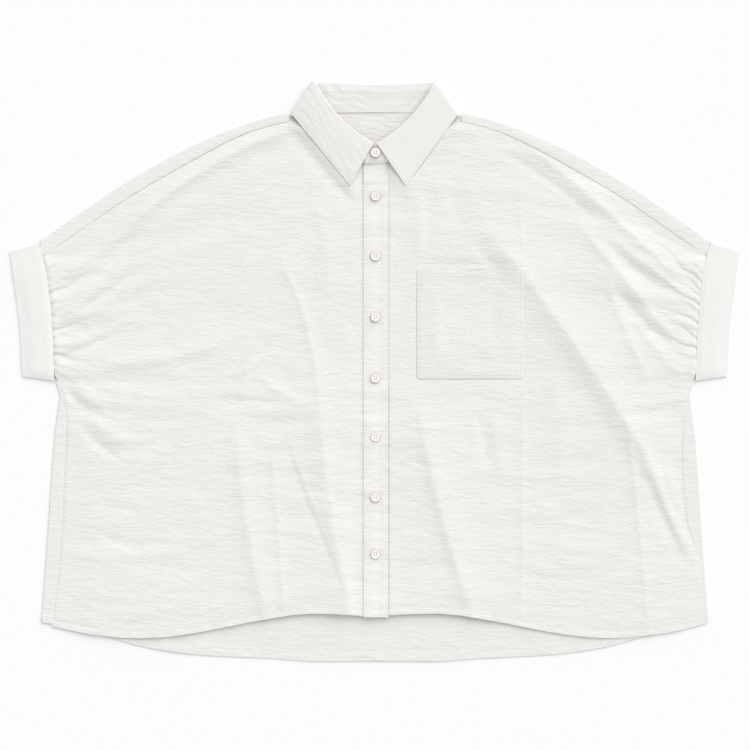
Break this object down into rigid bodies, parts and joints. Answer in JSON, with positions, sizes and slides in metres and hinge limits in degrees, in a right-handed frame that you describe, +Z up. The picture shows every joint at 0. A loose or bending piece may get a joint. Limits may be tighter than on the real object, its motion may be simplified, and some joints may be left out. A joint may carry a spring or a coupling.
{
  "type": "blouse",
  "caption": "Wide short-sleeved blouse laid flat face up, with a turned-down collar buttoned at the neck, a front band, a chest pocket, plain cuffs and a longer curved back hem.",
  "frame": {"origin": "on the surface, under the middle of the blouse's outline", "axes": "+X to the wearer's left across both cuffs, +Y from the hem to the collar, +Z up out of the surface, the way the front faces"},
  "size_m": [0.8406, 0.6672, 0.014],
  "materials": {
    "cloth": "matte, finely crinkled off-white cloth",
    "button": "smooth white"
  },
  "bodies": {
    "root": {"back": "cloth", "front_right": "cloth", "front_left": "cloth", "placket": "cloth", "pocket": "cloth", "cuff_right": "cloth", "cuff_left": "cloth", "collar_stand": "cloth", "collar_fall": "cloth", "button_1": "button", "button_2": "button", "button_3": "button", "button_4": "button", "button_5": "button", "button_6": "button", "button_7": "button", "button_8": "button"}
  },
  "joints": []
}
